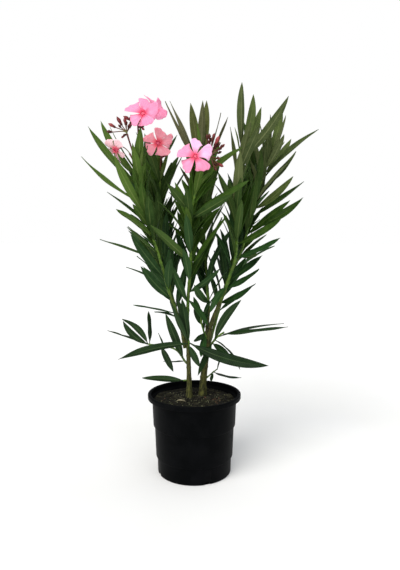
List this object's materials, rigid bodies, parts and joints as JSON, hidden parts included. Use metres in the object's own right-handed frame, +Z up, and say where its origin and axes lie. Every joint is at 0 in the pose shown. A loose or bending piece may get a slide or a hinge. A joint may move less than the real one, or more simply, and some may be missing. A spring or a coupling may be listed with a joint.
{
  "type": "potted oleander",
  "caption": "Upright potted oleander with narrow leaves, open pink flowers and dark red buds, in a round tapered nursery pot.",
  "frame": {"origin": "centre of the pot's flat underside, on the ground", "axes": "+Z up, -Y towards the viewer of the picture, +X to the right in the picture"},
  "size_m": [0.466, 0.284, 0.7748],
  "materials": {
    "pot_plastic": "matte moulded plastic, lightly dusty",
    "potting_soil": "loose damp potting mix with bark chips and pale grains",
    "stem_bark": "smooth olive brown bark",
    "foliage": "leathery satin leaves"
  },
  "bodies": {
    "root": {"pot": "pot_plastic", "soil": "potting_soil", "trunk_left": "stem_bark", "trunk_right": "stem_bark", "bough_centre": "stem_bark", "bough_left": "stem_bark", "bough_right": "stem_bark", "bough_back": "stem_bark", "left_shoot": "foliage", "inner_left_shoot": "foliage", "centre_shoot": "foliage", "top_shoot": "foliage", "right_shoot": "foliage", "outer_right_shoot": "foliage", "back_left_shoot": "foliage", "back_right_shoot": "foliage", "low_left_shoot": "foliage", "low_front_shoot": "foliage", "low_right_shoot": "foliage", "middle_shoot": "foliage", "foot_shoot": "foliage", "foot_left_shoot": "foliage"}
  },
  "joints": []
}
